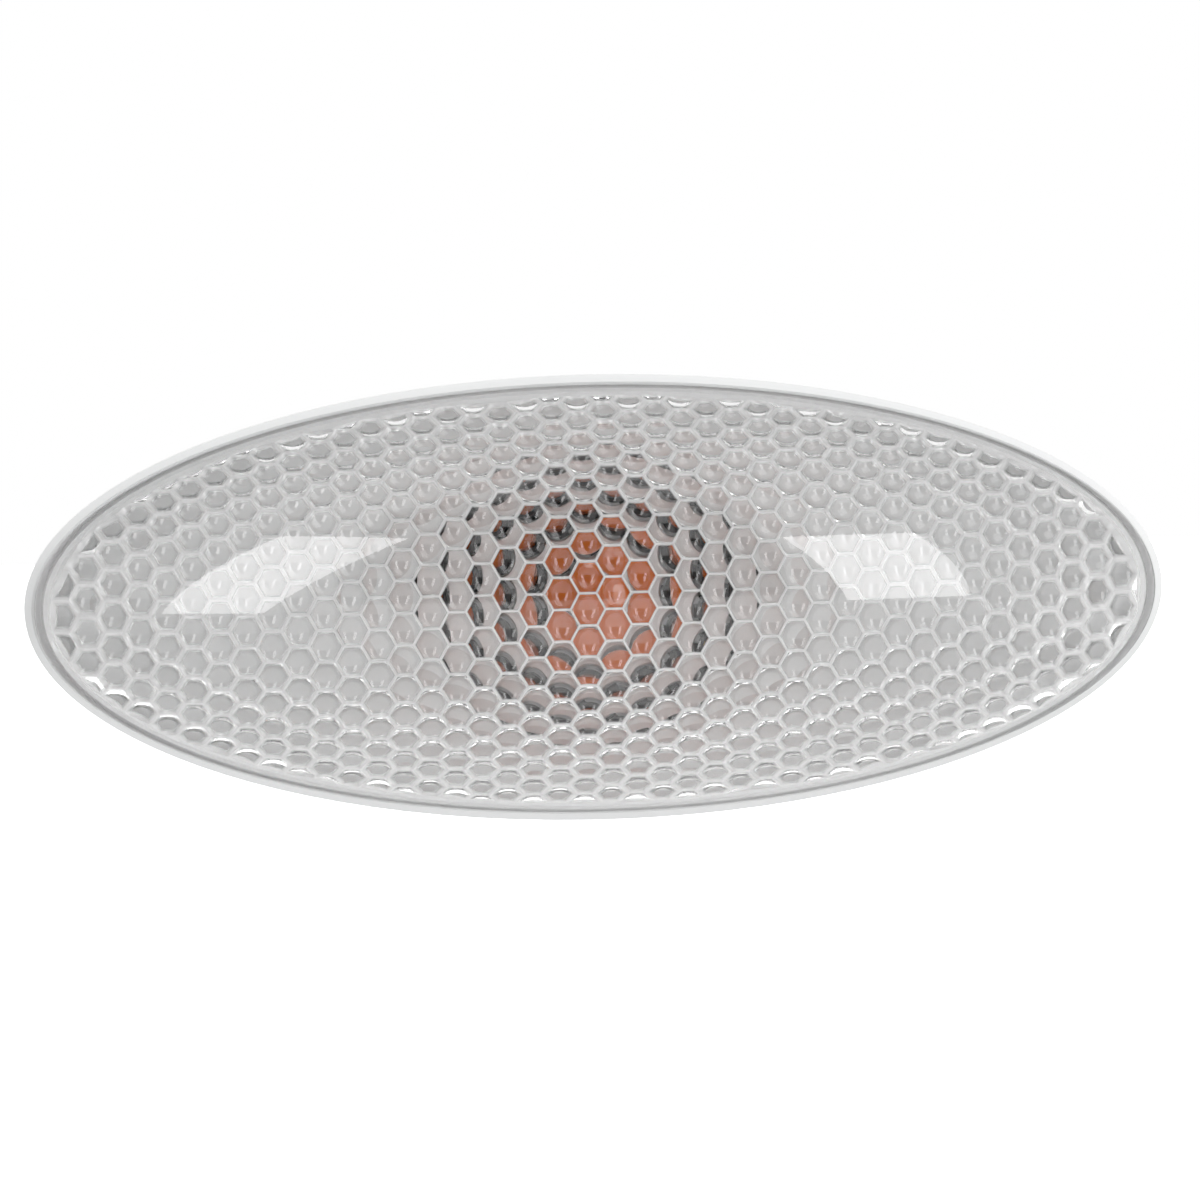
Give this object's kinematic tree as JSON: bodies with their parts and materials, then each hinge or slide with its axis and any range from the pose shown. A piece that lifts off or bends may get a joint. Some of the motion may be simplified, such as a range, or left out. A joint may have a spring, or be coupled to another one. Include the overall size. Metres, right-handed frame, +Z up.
{
  "type": "vehicle indicator lamp",
  "caption": "Oval clip-in side indicator lamp: clear domed lens with hexagonal pillow optics, white housing, foam gasket and a twist-in holder with an amber wedge bulb.",
  "frame": {"origin": "centre of the panel cut-out, on the panel's outer face, where the pressed gasket bears", "axes": "+X along the lamp, +Z up, the lens faces -Y and the plug socket points to +Y behind the panel"},
  "size_m": [0.09, 0.0476, 0.0352],
  "materials": {
    "clear_lens": "clear moulded polycarbonate, polished outside, hexagonal pillows inside",
    "white_housing": "moulded white plastic, fine satin",
    "foam_gasket": "closed-cell foam rubber",
    "black_holder": "moulded black nylon",
    "seal_rubber": "moulded rubber",
    "contact_brass": "stamped brass strip",
    "amber_glass": "amber lacquered blown glass",
    "filament_wire": "drawn tungsten wire",
    "lead_wire": "drawn nickel wire"
  },
  "bodies": {
    "lamp": {"lens": "clear_lens", "housing": "white_housing", "gasket": "foam_gasket"},
    "holder": {"bulb_holder": "black_holder", "holder_seal": "seal_rubber", "contact_left": "contact_brass", "contact_right": "contact_brass", "bulb_glass": "amber_glass", "bulb_filament": "filament_wire", "bulb_lead_left": "lead_wire", "bulb_lead_right": "lead_wire"}
  },
  "joints": [
    {"name": "holder_twist", "type": "hinge", "parent": "lamp", "child": "holder", "pos_m": [0, 0.0126, 0], "axis": [0, 1, 0], "range_deg": [0, 60]}
  ]
}
